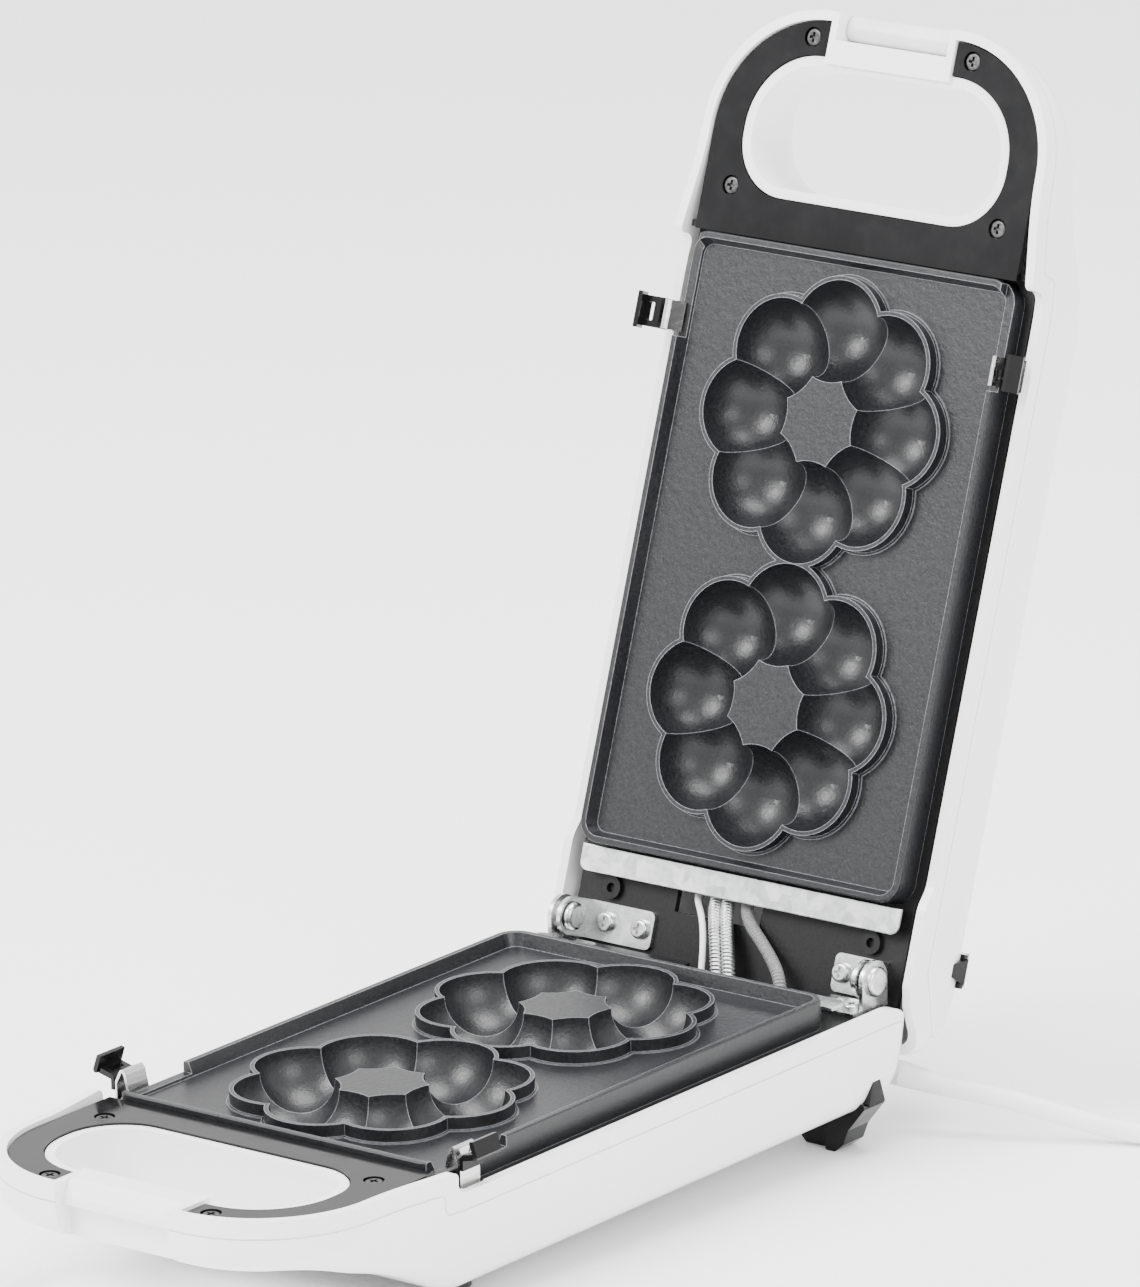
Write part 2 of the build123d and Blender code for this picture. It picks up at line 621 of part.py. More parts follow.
for side, name in ((-1, "left"), (1, "right")):
    with BuildPart() as base_bracket:
        add(hinge_tab(TAB_X, STEEL_PLATE, TAB_RADIUS, BASE_PANEL_Z, RIVET_RADIUS))
        with BuildSketch(Plane.XY.offset(BASE_PANEL_Z)) as foot_shape:
            with Locations(((TAB_X + STEEL_PLATE + 46) / 2, -4.8)):
                Rectangle(TAB_X + STEEL_PLATE - 46, 12.6)
            fillet(foot_shape.vertices().group_by(Axis.X)[0], 2)
            with Locations(BASE_BRACKET_SCREWS[1]):
                Circle(BRACKET_SCREW_SHAFT, mode=Mode.SUBTRACT)
        extrude(amount=STEEL_PLATE)
        with BuildSketch(Plane.XY.offset(BASE_PANEL_Z + STEEL_PLATE)):
            with Locations((50.2, -5.8)):
                Circle(1.3)
        extrude(amount=1)
    with BuildPart() as washer:
        with BuildSketch(Plane.YZ.offset(FLANGE_X + STEEL_PLATE + 0.4)):
            with Locations((0, HINGE_Z)):
                Circle(4.6)
                Circle(RIVET_RADIUS, mode=Mode.SUBTRACT)
        extrude(amount=TAB_X - FLANGE_X - STEEL_PLATE - 0.4)
    with BuildPart() as rivet:
        with BuildSketch(Plane.YZ.offset(FLANGE_X - 0.4)):
            with Locations((0, HINGE_Z)):
                Circle(RIVET_RADIUS)
        extrude(amount=TAB_X + STEEL_PLATE - FLANGE_X + 0.4)
        add(dome(FLANGE_X - 0.4, -1, 4.5, 1.9))
        add(dome(TAB_X + STEEL_PLATE, 1, 4.7, 2.0))
    # the lid's bracket: a plate under the lid's panel and a flange over the rivet
    inner_end = 37.5 if side > 0 else 30.8
    lid_face = -LID_PANEL_Z - STEEL_PLATE
    screw_xs = [abs(x) for x, _ in LID_BRACKET_SCREWS if x * side > 0]
    with BuildPart() as lid_bracket:
        with BuildSketch(Plane.YZ.offset(FLANGE_X)):
            with Locations((0, HINGE_Z)):
                Circle(FLANGE_RADIUS)
            with Locations((0, (HINGE_Z + lid_face + STEEL_PLATE) / 2)):
                Rectangle(2 * FLANGE_RADIUS, lid_face + STEEL_PLATE - HINGE_Z)
            with Locations((0, HINGE_Z)):
                Circle(RIVET_RADIUS + 0.06, mode=Mode.SUBTRACT)
        extrude(amount=STEEL_PLATE)
        with BuildSketch(Plane.XY.offset(lid_face)) as plate_shape:
            with Locations(((FLANGE_X + STEEL_PLATE + inner_end) / 2, 0)):
                Rectangle(FLANGE_X + STEEL_PLATE - inner_end, 2 * FLANGE_RADIUS)
            fillet(plate_shape.vertices().group_by(Axis.X)[0], 2)
            with Locations(*[(x, 0) for x in screw_xs]):
                Circle(BRACKET_SCREW_SHAFT, mode=Mode.SUBTRACT)
        extrude(amount=STEEL_PLATE)
    for piece, label, on_lid in ((base_bracket.part, f"base_hinge_bracket_{name}", False),
                                 (lid_bracket.part, f"lid_hinge_bracket_{name}", True)):
        if side < 0:
            piece = mirror(piece, about=Plane.YZ)
        save(piece, label, lid=on_lid)

for piece, label in ((washer.part, "hinge_washers"), (rivet.part, "hinge_rivets")):
    save(Compound([piece, mirror(piece, about=Plane.YZ)]), label)

save(screws(BASE_BRACKET_SCREWS, BASE_PANEL_Z + STEEL_PLATE, 2.8, 1.4,
            BRACKET_SCREW_SHAFT, 3.4), "base_bracket_screws")
save(flipped(screws(LID_BRACKET_SCREWS, LID_PANEL_Z + STEEL_PLATE, 3.0, 1.9,
                    BRACKET_SCREW_SHAFT, 3.4)), "lid_bracket_screws", lid=True)


def wire(points, radius, bend):
    """A round wire or sleeve along straight runs with rounded corners."""
    with BuildPart() as run:
        with BuildLine() as path:
            FilletPolyline(*points, radius=bend)
        start = path.line @ 0
        with BuildSketch(Plane(start, z_dir=path.line % 0)):
            Circle(radius)
        sweep(path=path.line)
    return run.part


def table_points(points):
    """Points of the machine frame in the part's own frame."""
    return [table_point(*point) for point in points]


sleeves = [wire(table_points([(3 + shift, -0.5, -16), (2.5 + shift, 0, -10),
                              (-2.5 + shift, 6, 0), (-9 + shift, 14.5, 7),
                              (-12 + shift, 22, 9.5)]), 2.1, 5) for shift in (-2.2, 2.2)]
save(Compound(sleeves), "hinge_sleeves", placed=True)
save(wire(table_points([(-6, -1, -16), (-6, 1, -9), (-11, 8.5, 2), (-19, 15, 8.5),
                        (-20.5, 22, 10)]), 1.0, 4), "earth_wire", placed=True)
save(wire(table_points([(25, -1, -16), (24.5, 0, -9), (16, 6.3, -3.5), (0, 12.6, 6.5),
                        (-1.5, 21, 10)]), 2.0, 4), "lead_sleeve", placed=True)

# ---- plate clips -------------------------------------------------------------------


def clip_parts():
    """A clip on the base's right side: the steel spring and its black finger piece."""
    pivot_x, pivot_z = CLIP_PIVOT
    bend_x = pivot_x + 1.3
    with BuildPart() as spring:
        with BuildSketch(Plane.XZ):
            with BuildLine():
                FilletPolyline((bend_x, pivot_z), (bend_x, -0.4), (61.4, 3.9), (60.2, 2.6),
                               (58.9, -2.9), radius=0.5)
            trace(line_width=STEEL)
            with Locations(CLIP_PIVOT):
                Circle(1.75)
        extrude(amount=CLIP_WIDTH / 2, both=True)
        with BuildSketch(Plane.XZ):
            with Locations(CLIP_PIVOT):
                Circle(PIN_RADIUS + 0.06)
        extrude(amount=CLIP_WIDTH, both=True, mode=Mode.SUBTRACT)
        with BuildSketch(Plane((62.3, 0, 2.1), x_dir=(0, 1, 0), z_dir=(0.89, 0, 0.455))):
            RectangleRounded(5.5, 1.8, 0.5)
        extrude(amount=1.5, both=True, mode=Mode.SUBTRACT)
    outer = bend_x + STEEL / 2
    with BuildPart() as cap:
        with BuildSketch(Plane.XZ):
            with BuildLine():
                Polyline((outer, -2.6), (outer + 1.2, -2.6), (outer + 1.2, 0.5), (70.9, 1.9),
                         (71.2, 2.7), (69.6, 7.3), (68.2, 7.0), (69.4, 3.3),
                         (outer + 1, 2.2), (outer, 1.2), (outer, -2.6))
            make_face()
        extrude(amount=4.75, both=True)
        with BuildSketch(Plane.XZ):
            with BuildLine():
                Polyline((70.0, 1.7), (70.9, 1.9), (71.2, 2.7), (69.6, 7.3), (68.2, 7.0),
                         (70.0, 1.7))
            make_face()
        extrude(amount=5.6, both=True)
        with BuildSketch(Plane.XY):
            with Locations((67.2, 0)):
                RectangleRounded(2, 5.8, 0.6)
        extrude(amount=4, mode=Mode.SUBTRACT)
    with BuildPart() as pin:
        with BuildSketch(Plane.XZ):
            with Locations(CLIP_PIVOT):
                Circle(PIN_RADIUS)
        extrude(amount=LUG_OUTER, both=True)
    return spring.part, cap.part, pin.part


clip_spring, clip_cap, clip_pin = clip_parts()
for half, clip_y in (("base", BASE_CLIP_Y), ("lid", LID_CLIP_Y)):
    on_lid = half == "lid"
    for shape, name in ((clip_spring, "clip"), (clip_cap, "clip_cap"), (clip_pin, "clip_pins")):
        right = shape.translate((0, clip_y, 0))
        if on_lid:
            right = flipped(right)
        left = mirror(right, about=Plane.YZ)
        if name == "clip_pins":
            save(Compound([left, right]), f"{half}_{name}", lid=on_lid)
        else:
            save(left, f"{half}_{name}_left", lid=on_lid)
            save(right, f"{half}_{name}_right", lid=on_lid)

# ---- latch -------------------------------------------------------------------------
with BuildPart() as latch_clasp:
    with BuildSketch(Plane.YZ.offset(-LATCH_HALF + 0.4)):
        with Locations((HUB_Y, HUB_Z)):
            Circle(HUB_RADIUS)
        with BuildLine():
            tip = HUB_Z + 20.6
            Polyline((HUB_Y + 1.6, HUB_Z), (HUB_Y + 3.8, HUB_Z), (HUB_Y + 3.8, tip - 1),
                     (HUB_Y + 2.8, tip), (HUB_Y - 1.8, tip), (HUB_Y - 1.8, tip - 2.4),
                     (HUB_Y + 1.6, tip - 2.4), (HUB_Y + 1.6, HUB_Z))
        make_face()
        with Locations((HUB_Y, HUB_Z)):
            Circle(LATCH_PIN_RADIUS + 0.06, mode=Mode.SUBTRACT)
    extrude(amount=2 * LATCH_HALF - 0.8)
save(latch_clasp.part, "latch_clasp", lid=True)

with BuildPart() as latch_pin:
    with BuildSketch(Plane.YZ.offset(-LATCH_HALF - 2.4)):
        with Locations((HUB_Y, HUB_Z)):
            Circle(LATCH_PIN_RADIUS)
    extrude(amount=2 * LATCH_HALF + 4.8)
save(latch_pin.part, "latch_pin", lid=True)

# ---- feet and cord hooks -----------------------------------------------------------


def hook_part(below):
    """A tall foot that ends in a hook for the cord, on the right; below is the housing."""
    with BuildPart() as hook:
        with BuildSketch(Plane.XZ.offset(-FOOT_Y)):
            with BuildLine():
                Polyline((30, -38), (36, FOOT_Z + 4), (40, FOOT_Z), (52.5, FOOT_Z),
                         (55.5, FOOT_Z + 2.5), (57.5, -46), (63.5, -38.5), (63.5, -36.8),
                         (56, -36), (30, -38))
            make_face()
        extrude(amount=2.6, both=True)
        with BuildSketch(Plane.XZ.offset(-FOOT_Y)):
            with BuildLine():
                Polyline((49, -38), (49, FOOT_Z), (52.5, FOOT_Z), (55.5, FOOT_Z + 2.5),
                         (57.5, -46), (63.5, -38.5), (63.5, -36.8), (58, -37), (49, -38))
            make_face()
        extrude(amount=5.2, both=True)
        fillet(hook.edges().filter_by(Axis.Y).group_by(Axis.Z)[0], 0.8)
        with BuildSketch(Plane.XY.offset(-37.5)):
            with Locations((62.6, FOOT_Y)):
                Rectangle(4.2, 8)
        with BuildSketch(Plane.XY.offset(TIP_Z)):
            with Locations((63.4, FOOT_Y)):
                Rectangle(2.0, 3.4)
        loft()
        add(below, mode=Mode.SUBTRACT)
    return hook.part.solids().sort_by(SortBy.VOLUME)[-1]


base_hook = hook_part(full_block(0, BASE_REAR, 14, EDGE_ROUND))
lid_hook = hook_part(full_block(0, LID_REAR, 22, EDGE_ROUND))
save(base_hook, "rear_foot_right")
save(mirror(base_hook, about=Plane.YZ), "rear_foot_left")
save(flipped(lid_hook), "lid_hook_right", lid=True)
save(mirror(flipped(lid_hook), about=Plane.YZ), "lid_hook_left", lid=True)

with BuildPart() as front_feet:
    rise = (abs(FRONT_FOOT_Y) + FRONT_FOOT_RADIUS - abs(PIVOT_Y)) * tan(radians(LEAN))
    with BuildSketch(Plane.XY.offset(FOOT_Z + rise)):
        with Locations((-40, FRONT_FOOT_Y), (40, FRONT_FOOT_Y)):
            Circle(FRONT_FOOT_RADIUS)
    extrude(amount=BELLY_Z - FOOT_Z - rise)
save(front_feet.part, "front_feet")

# ---- lamps and electrics -----------------------------------------------------------
for x, y in LAMPS:
    with BuildPart() as lamp:
        with BuildSketch(Plane.XY.offset(-BELLY_Z - 4)):
            with Locations((x, y)):
                Circle(LAMP_RADIUS)
        extrude(amount=4.8)
        fillet(lamp.faces().sort_by(Axis.Z)[-1].edges(), 0.7)
    save(lamp.part, "power_lamp" if x < 0 else "ready_lamp", lid=True)

for half in ("lower", "upper"):
    on_lid = half == "upper"
    with BuildPart() as thermostat:
        with BuildSketch(Plane.XY.offset(TRAY_Z)):
            with Locations((0, -118)):
                Circle(8)
        extrude(amount=-5)
        with BuildSketch(Plane.XY.offset(TRAY_Z - 2)):
            with Locations((-9, -118), (9, -118)):
                Rectangle(6, 4)
        extrude(amount=0.8)
    save(flipped(thermostat.part) if on_lid else thermostat.part, f"{half}_thermostat",
         lid=on_lid)

with BuildPart() as thermal_fuse:
    with BuildSketch(Plane.YZ.offset(-30)):
        with Locations((-90, TRAY_Z - 2)):
            Circle(2)
    extrude(amount=16)
save(thermal_fuse.part, "thermal_fuse")

with BuildPart() as terminal_block:
    with Locations((12, -14, INSIDE_FLOOR)):
        Box(26, 16, 10, align=(Align.CENTER, Align.CENTER, Align.MIN))
    with BuildSketch(Plane.XY.offset(INSIDE_FLOOR + 10)):
        with Locations((4, -14), (12, -14), (20, -14)):
            Circle(1.8)
    extrude(amount=-4, mode=Mode.SUBTRACT)
save(terminal_block.part, "terminal_block")

# ---- mains cord --------------------------------------------------------------------
gland_path = [((GLAND_X, BASE_REAR + 0.1, GLAND_Z), (0, 1, 0), 4.5),
              ((GLAND_X, BASE_REAR + 1.5, GLAND_Z), (0, 1, 0), 4.5),
              ((46.2, 14.6, -34.8), (0.66, 0.74, -0.12), 4.4),
              ((54.5, 18.9, -36.7), (0.87, 0.43, -0.22), 4.0),
              ((68.3, 22.8, -39.3), (0.864, 0.480, -0.151), CORD_DIAMETER / 2)]
with BuildPart() as gland:
    with BuildSketch(Plane.XZ.offset(-BASE_REAR - 0.1)):
        with Locations((GLAND_X, GLAND_Z)):
            Circle(GLAND_RADIUS)
    extrude(amount=7)
    sections = []
    for at, along, radius in gland_path:
        with BuildSketch(Plane(at, x_dir=(0, 0, 1), z_dir=along)) as section:
            Circle(radius)
        sections.append(section.sketch)
    loft(sections, ruled=True)
save(gland.part, "cord_gland")


def cord_tube(route):
    """A cord along straight runs joined by the largest arcs that they allow."""
    points = [Vector(*point) for point in route]
    radii = []
    for before, at, after in zip(points, points[1:], points[2:]):
        turn = radians((at - before).get_angle(after - at))
        shorter = min((at - before).length, (after - at).length)
        radii.append(0.45 * shorter / tan(turn / 2))
    with BuildPart() as tube:
        with BuildLine() as path:
            FilletPolyline(*points, radius=radii)
        with BuildSketch(Plane(path.line @ 0, z_dir=path.line % 0)):
            Circle(CORD_DIAMETER / 2)
        sweep(path=path.line)
    return tube.part


def on_coil(angle):
    """Middle of the cord on the coil at an angle in degrees, and its direction there."""
    a = radians(angle)
    height = CORD_DIAMETER / 2 + 0.05 + COIL_PITCH * (angle - COIL_START) / 360
    at = Vector(COIL_CENTRE[0] + COIL_RADIUS * cos(a), COIL_CENTRE[1] + COIL_RADIUS * sin(a),
                height)
    return at, Vector(-sin(a), cos(a), 0)


save(cord_tube(CORD_ROUTE), "power_cord", placed=True)
save(cord_tube(CORD_TAIL), "power_cord_tail", placed=True)
coil_in, heading_in = on_coil(COIL_START)
coil_out, heading_out = on_coil(COIL_START + COIL_SWEEP)
with BuildPart() as coil:
    with Locations((COIL_CENTRE[0], COIL_CENTRE[1], 0.05)):
        Cylinder(COIL_RADIUS + CORD_DIAMETER / 2, coil_out.Z + CORD_DIAMETER / 2,
                 align=(Align.CENTER, Align.CENTER, Align.MIN))
        Cylinder(COIL_RADIUS - CORD_DIAMETER / 2, 40, mode=Mode.SUBTRACT)
    with BuildSketch(Plane(coil_in, z_dir=heading_in * -1)):
        Circle(CORD_DIAMETER / 2)
    extrude(amount=LEAD_IN)
    with BuildSketch(Plane(coil_out, z_dir=heading_out)):
        Circle(CORD_DIAMETER / 2)
    extrude(amount=LEAD_IN)
save(coil.part, "power_cord_coil", placed=True)

# a flat two-pin plug, drawn along its own X axis from the cord's end
with BuildPart() as plug_body:
    with BuildSketch(Plane.YZ):
        Circle(CORD_DIAMETER / 2 + 0.6)
    with BuildSketch(Plane.YZ.offset(12)):
        RectangleRounded(13, 9, 4)
    with BuildSketch(Plane.YZ.offset(35)):
        RectangleRounded(26, 13.6, 6)
    loft()
with BuildPart() as plug_pins:
    with BuildSketch(Plane.YZ.offset(35)):
        with Locations((-9.3, 0), (9.3, 0)):
            Circle(2)
    extrude(amount=19)
    fillet(plug_pins.faces().sort_by(Axis.X)[-1].edges()
           + plug_pins.faces().sort_by(Axis.X)[-2].edges(), 1)
tail_end = Vector(*CORD_TAIL[-1])
tail_heading = tail_end - Vector(*CORD_TAIL[-2])
plug_plane = Plane(tail_end, x_dir=(tail_heading.X, tail_heading.Y, 0), z_dir=(0, 0, 1))
save(plug_plane.location * plug_body.part, "mains_plug", placed=True)
save(plug_plane.location * plug_pins.part, "mains_plug_pins", placed=True)
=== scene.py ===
"""Donut maker, opened flat on a white table: finishes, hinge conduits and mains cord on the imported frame."""

from math import cos, pi, radians, sin

import bpy
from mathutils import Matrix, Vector


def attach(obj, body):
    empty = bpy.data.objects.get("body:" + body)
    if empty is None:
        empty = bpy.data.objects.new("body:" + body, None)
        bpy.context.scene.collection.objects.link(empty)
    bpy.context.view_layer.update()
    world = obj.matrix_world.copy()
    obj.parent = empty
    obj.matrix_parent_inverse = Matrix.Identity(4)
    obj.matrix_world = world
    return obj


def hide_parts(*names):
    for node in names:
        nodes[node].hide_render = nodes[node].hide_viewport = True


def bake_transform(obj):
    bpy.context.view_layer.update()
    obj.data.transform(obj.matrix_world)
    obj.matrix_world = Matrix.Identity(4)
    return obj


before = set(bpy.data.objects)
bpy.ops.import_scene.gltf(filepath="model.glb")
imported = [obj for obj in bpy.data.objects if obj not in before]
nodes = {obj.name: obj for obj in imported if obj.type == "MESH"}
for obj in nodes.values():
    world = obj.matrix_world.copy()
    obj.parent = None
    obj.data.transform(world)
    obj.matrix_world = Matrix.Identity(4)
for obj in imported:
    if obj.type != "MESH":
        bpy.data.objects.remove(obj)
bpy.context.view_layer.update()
scene = bpy.context.scene
MM = 0.001

# ---- camera -------------------------------------------------------------------------
CAMERA_AT = Vector((1.96985, -2.5375, 1.0159))
CAMERA_BACK = Vector((0.5909, -0.7649, 0.2562))
camera_data = bpy.data.cameras.new("camera")
camera_data.sensor_fit = "VERTICAL"
camera_data.sensor_height = 36
camera_data.lens = 316.9
camera_data.clip_end = 20
camera = bpy.data.objects.new("camera", camera_data)
scene.collection.objects.link(camera)
camera.location = CAMERA_AT
camera.rotation_mode = "QUATERNION"
camera.rotation_quaternion = CAMERA_BACK.to_track_quat("Z", "Y")
scene.camera = camera

# ---- mains cord ---------------------------------------------------------------------
# route points in millimetres: out of the gland and down to the table, then the turns of
# the coil, then the way down from the coil to the plug
CORD = 6.3
CORD_ROUTE = [(68.3, 108.3, 15.2), (84.9, 117.1, 12.6), (100.7, 125.3, 7.8),
              (118.6, 134.3, 3.5), (136.6, 142.9, 3.2)]
CORD_TAIL = [(178.3, 203.6, 23.5), (179.6, 220.6, 23.2), (174.6, 240.9, 16.5),
             (158.4, 257.1, 8.6), (138.4, 263.6, 8.4)]
COIL_CENTRE = (142.0, 183.9)
COIL_RADIUS = 5.5 * CORD
COIL_START, COIL_SWEEP = -64.5, 1140.0
COIL_PITCH = 1.02 * CORD
COIL_STEPS = 48

cord_points = list(CORD_ROUTE)
for step in range(1, COIL_STEPS):
    share = step / COIL_STEPS
    a = radians(COIL_START + COIL_SWEEP * share)
    cord_points.append((COIL_CENTRE[0] + COIL_RADIUS * cos(a),
                        COIL_CENTRE[1] + COIL_RADIUS * sin(a),
                        CORD / 2 + 0.05 + COIL_PITCH * COIL_SWEEP * share / 360))
cord_points += CORD_TAIL


def nurbs(name, points, radius=0.0):
    """A smooth curve through millimetre points, round if it has a radius in millimetres."""
    data = bpy.data.curves.new(name, "CURVE")
    data.dimensions = "3D"
    data.resolution_u = 12
    spline = data.splines.new("NURBS")
    spline.points.add(len(points) - 1)
    for point, at in zip(spline.points, points):
        point.co = (at[0] * MM, at[1] * MM, at[2] * MM, 1)
        point.radius = radius * MM
    spline.order_u = 3
    spline.use_endpoint_u = True
    data.bevel_depth = 1.0 if radius else 0.0
    data.bevel_resolution = 6
    data.use_fill_caps = True
    piece = bpy.data.objects.new(name, data)
    scene.collection.objects.link(piece)
    return piece


def centreline(curve):
    """Points along a curve that has no thickness, in the frame's metres."""
    bpy.context.view_layer.update()
    evaluated = curve.evaluated_get(bpy.context.evaluated_depsgraph_get())
    mesh = bpy.data.meshes.new_from_object(evaluated)
    return [v.co.copy() for v in mesh.vertices]


mains_cord = nurbs("mains_cord", cord_points, CORD / 2)
line = centreline(nurbs("cord_line", cord_points))
bpy.data.objects.remove(bpy.data.objects["cord_line"])
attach(mains_cord, "base")
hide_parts("power_cord", "power_cord_tail", "power_cord_coil")


# ---- finishes -----------------------------------------------------------------------
class Finish:
    """A material with a few short ways to add procedural detail to it."""

    def __init__(self, name, colour, roughness, metallic=0.0, coat=0.0):
        self.material = bpy.data.materials.new(name)
        self.material.use_nodes = True
        self.material.diffuse_color = (*colour, 1)
        self.tree = self.material.node_tree
        self.shader = self.tree.nodes["Principled BSDF"]
        self.set("Base Color", (*colour, 1))
        self.set("Roughness", roughness)
        self.set("Metallic", metallic)
        if coat:
            self.set("Coat Weight", coat)
            self.set("Coat Roughness", 0.05)
        self.place = self.node("ShaderNodeTexCoord")
        self.normal = None

    def node(self, kind, **values):
        made = self.tree.nodes.new(kind)
        for key, value in values.items():
            setattr(made, key, value)
        return made

    def link(self, start, end):
        self.tree.links.new(start, end)

    def set(self, socket, value):
        self.shader.inputs[socket].default_value = value

    def noise(self, scale, detail=3.0, rough=0.55, stretch=(1, 1, 1)):
        """Cloudy values around a half, at a scale in lumps per metre."""
        spread = self.node("ShaderNodeMapping")
        spread.inputs["Scale"].default_value = stretch
        self.link(self.place.outputs["Object"], spread.inputs["Vector"])
        made = self.node("ShaderNodeTexNoise")
        made.inputs["Scale"].default_value = scale
        made.inputs["Detail"].default_value = detail
        made.inputs["Roughness"].default_value = rough
        self.link(spread.outputs["Vector"], made.inputs["Vector"])
        return made.outputs["Fac"]

    def cells(self, scale, output="Distance"):
        """Cells at a scale per metre: distances from their middles, or their colours."""
        made = self.node("ShaderNodeTexVoronoi")
        made.inputs["Scale"].default_value = scale
        self.link(self.place.outputs["Object"], made.inputs["Vector"])
        return made.outputs[output]

    def between(self, value, low, high, out_low, out_high):
        """A value from one range to another, held at its ends."""
        made = self.node("ShaderNodeMapRange")
        for socket, number in (("From Min", low), ("From Max", high),
                               ("To Min", out_low), ("To Max", out_high)):
            made.inputs[socket].default_value = number
        self.link(value, made.inputs["Value"])
        return made.outputs["Result"]

    def maths(self, operation, first, second):
        made = self.node("ShaderNodeMath", operation=operation)
        for socket, value in zip(made.inputs, (first, second)):
            if isinstance(value, (int, float)):
                socket.default_value = value
            else:
                self.link(value, socket)
        return made.outputs["Value"]

    def colours(self, value, *stops):
        """A colour for a value, from (position, colour) stops."""
        made = self.node("ShaderNodeValToRGB")
        ramp = made.color_ramp
        while len(ramp.elements) < len(stops):
            ramp.elements.new(0.5)
        for element, (position, colour) in zip(ramp.elements, stops):
            element.position = position
            element.color = (*colour, 1)
        self.link(value, made.inputs["Fac"])
        self.link(made.outputs["Color"], self.shader.inputs["Base Color"])

    def edges(self, radius):
        """A value that is 0 on flat stretches and rises to 1 at sharp edges, within a radius."""
        soft = self.node("ShaderNodeBevel", samples=6)
        soft.inputs["Radius"].default_value = radius
        flat = self.node("ShaderNodeNewGeometry")
        made = self.node("ShaderNodeVectorMath", operation="DOT_PRODUCT")
        self.link(soft.outputs["Normal"], made.inputs[0])
        self.link(flat.outputs["Normal"], made.inputs[1])
        return self.between(made.outputs["Value"], 0.995, 0.90, 0, 1)

    def rough(self, value):
        self.link(value, self.shader.inputs["Roughness"])

    def bump(self, height, strength, distance):
        """Relief from a height value, on top of any relief already there, in metres."""
        made = self.node("ShaderNodeBump")
        made.inputs["Strength"].default_value = strength
        made.inputs["Distance"].default_value = distance
        self.link(height, made.inputs["Height"])
        if self.normal is not None:
            self.link(self.normal, made.inputs["Normal"])
        self.normal = made.outputs["Normal"]
        self.link(self.normal, self.shader.inputs["Normal"])


def white_gloss():
    f = Finish("white_housing", (0.86, 0.86, 0.85), 0.2, coat=0.35)
    f.colours(f.noise(9, 2), (0.3, (0.83, 0.832, 0.825)), (0.7, (0.88, 0.88, 0.875)))
    f.rough(f.between(f.noise(60, 4), 0.3, 0.7, 0.16, 0.27))
    f.bump(f.noise(45, 2), 0.12, 0.0006)
    f.bump(f.noise(1600, 3), 0.10, 0.00005)
    return f


def nonstick():
    f = Finish("nonstick_plate", (0.03, 0.031, 0.034), 0.36)
    flakes = f.between(f.cells(1500), 0.16, 0.05, 0, 1)
    bright = f.between(f.cells(1500, "Color"), 0.55, 1.0, 0, 1)
    grain = f.noise(900, 4, 0.7)
    speck = f.maths("MULTIPLY", flakes, bright)
    mottle = f.maths("ADD", f.maths("MULTIPLY", grain, 0.55), f.maths("MULTIPLY", speck, 0.5))
    # painted highlight: the plate's sharp edges are coloured lighter, standing in for light caught along them
    value = f.maths("ADD", mottle, f.maths("MULTIPLY", f.edges(0.0005), 0.4))
    f.colours(value, (0.15, (0.004, 0.0042, 0.005)), (0.42, (0.013, 0.014, 0.016)), (0.85, (0.34, 0.35, 0.38)))
    f.rough(f.between(grain, 0.3, 0.7, 0.27, 0.42))
    f.set("Specular IOR Level", 0.42)
    f.bump(f.noise(420, 3, 0.6), 0.5, 0.00022)
    f.bump(grain, 0.5, 0.00014)
    return f


def black_gloss():
    f = Finish("black_trim", (0.012, 0.012, 0.013), 0.14)
    f.set("Specular IOR Level", 0.22)
    f.colours(f.noise(30, 2), (0.3, (0.003, 0.003, 0.0035)), (0.7, (0.007, 0.007, 0.0075)))
    f.rough(f.between(f.noise(140, 5, 0.65), 0.35, 0.75, 0.10, 0.24))
    f.bump(f.noise(1400, 2), 0.10, 0.00004)
    return f


def black_satin():
    f = Finish("black_frame", (0.014, 0.014, 0.015), 0.4)
    f.set("Specular IOR Level", 0.25)
    grain = f.noise(1300, 4)
    f.colours(grain, (0.3, (0.004, 0.004, 0.0045)), (0.75, (0.010, 0.010, 0.011)))
    f.rough(f.between(grain, 0.3, 0.7, 0.34, 0.5))
    f.bump(grain, 0.3, 0.00008)
    return f


def dark_screw():
    f = Finish("dark_screw", (0.05, 0.05, 0.05), 0.35, 0.8)
    patches = f.noise(700, 4)
    f.colours(patches, (0.35, (0.035, 0.035, 0.037)), (0.7, (0.11, 0.11, 0.11)))
    f.rough(f.between(patches, 0.3, 0.7, 0.25, 0.5))
    f.bump(f.noise(2500, 2), 0.2, 0.00004)
    return f


def bright_steel():
    f = Finish("bright_steel", (0.62, 0.63, 0.63), 0.28, 1.0)
    patches = f.noise(260, 5, 0.65)
    f.colours(patches, (0.3, (0.46, 0.47, 0.47)), (0.55, (0.63, 0.64, 0.64)), (0.8, (0.74, 0.74, 0.72)))
    f.rough(f.between(patches, 0.3, 0.75, 0.2, 0.4))
    f.bump(f.noise(1800, 3), 0.25, 0.00005)
    return f


def galvanised():
    f = Finish("galvanised_steel", (0.6, 0.61, 0.61), 0.36, 1.0)
    spangle = f.cells(230, "Color")
    cloud = f.maths("ADD", f.maths("MULTIPLY", spangle, 0.35), f.maths("MULTIPLY", f.noise(420, 4), 0.65))
    f.colours(cloud, (0.25, (0.44, 0.45, 0.46)), (0.55, (0.62, 0.63, 0.63)), (0.85, (0.76, 0.76, 0.75)))
    f.rough(f.between(cloud, 0.25, 0.8, 0.28, 0.48))
    f.bump(f.noise(1500, 3, 0.6, (1, 0.15, 1)), 0.25, 0.00005)
    return f


